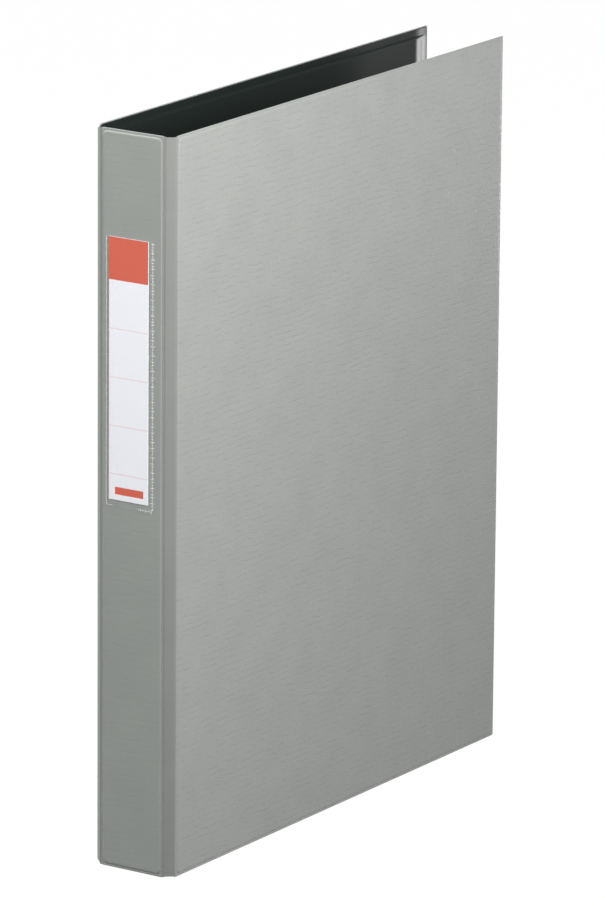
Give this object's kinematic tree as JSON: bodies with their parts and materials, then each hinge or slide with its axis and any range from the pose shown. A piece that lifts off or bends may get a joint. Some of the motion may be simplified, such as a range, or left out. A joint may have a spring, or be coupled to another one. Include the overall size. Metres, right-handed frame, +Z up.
{
  "type": "ring binder",
  "caption": "Upright ring binder of welded foil over board, with hinged covers, a spine label pocket and an opening D-ring mechanism inside its back cover.",
  "frame": {"origin": "centre of the bounding box in plan, at the height of the bottom edges that the closed binder stands on", "axes": "+X through the thickness towards the front cover, +Y from the spine to the fore edges, +Z up along the spine"},
  "size_m": [0.0408, 0.2506, 0.315],
  "materials": {
    "grey_foil": "satin grey foil with a fine embossed grain",
    "black_foil": "smooth glossy near-black lining foil",
    "board": "grey board, hidden inside the foils",
    "clear_film": "thin clear film",
    "label_paper": "white card with a plain red field and thin rules",
    "nickel": "bright nickel-plated steel"
  },
  "bodies": {
    "spine": {"spine_outer_foil": "grey_foil", "spine_board": "board", "spine_inner_foil": "black_foil", "label_pocket": "clear_film", "label_card": "label_paper"},
    "front_hinge": {"front_hinge_strip": "grey_foil"},
    "front_cover": {"front_cover_outer_foil": "grey_foil", "front_cover_board": "board", "front_cover_inner_foil": "black_foil"},
    "back_hinge": {"back_hinge_strip": "grey_foil"},
    "back_cover": {"back_cover_outer_foil": "grey_foil", "back_cover_board": "board", "back_cover_inner_foil": "black_foil", "ring_rail": "nickel", "lower_rivet": "nickel", "lower_rivet_post": "nickel", "upper_rivet": "nickel", "upper_rivet_post": "nickel"},
    "spine_side_ring_halves": {"spine_side_blade": "nickel", "ring_1_curved_half": "nickel", "ring_2_curved_half": "nickel", "ring_3_curved_half": "nickel", "ring_4_curved_half": "nickel"},
    "fore_edge_side_ring_halves": {"fore_edge_side_blade": "nickel", "ring_1_straight_half": "nickel", "ring_2_straight_half": "nickel", "ring_3_straight_half": "nickel", "ring_4_straight_half": "nickel"}
  },
  "joints": [
    {"name": "front_spine_crease", "type": "hinge", "parent": "spine", "child": "front_hinge", "pos_m": [0.01605, -0.12365, 0.1575], "axis": [0, 0, -1], "range_deg": [0, 60]},
    {"name": "front_cover_crease", "type": "hinge", "parent": "front_hinge", "child": "front_cover", "pos_m": [0.01945, -0.12075, 0.1575], "axis": [0, 0, -1], "range_deg": [-3, 120]},
    {"name": "back_spine_crease", "type": "hinge", "parent": "spine", "child": "back_hinge", "pos_m": [-0.01515, -0.12365, 0.1575], "axis": [0, 0, 1], "range_deg": [0, 60]},
    {"name": "back_cover_crease", "type": "hinge", "parent": "back_hinge", "child": "back_cover", "pos_m": [-0.01855, -0.12075, 0.1575], "axis": [0, 0, 1], "range_deg": [-3, 120]},
    {"name": "curved_halves_hinge", "type": "hinge", "parent": "back_cover", "child": "spine_side_ring_halves", "pos_m": [-0.01405, -0.10975, 0.1575], "axis": [0, 0, -1], "range_deg": [0, 14]},
    {"name": "straight_halves_hinge", "type": "hinge", "parent": "back_cover", "child": "fore_edge_side_ring_halves", "pos_m": [-0.01405, -0.09495, 0.1575], "axis": [0, 0, 1], "range_deg": [0, 14]}
  ],
  "couplings": [
    {"joint": "straight_halves_hinge", "follows": "curved_halves_hinge", "ratio": 1}
  ]
}
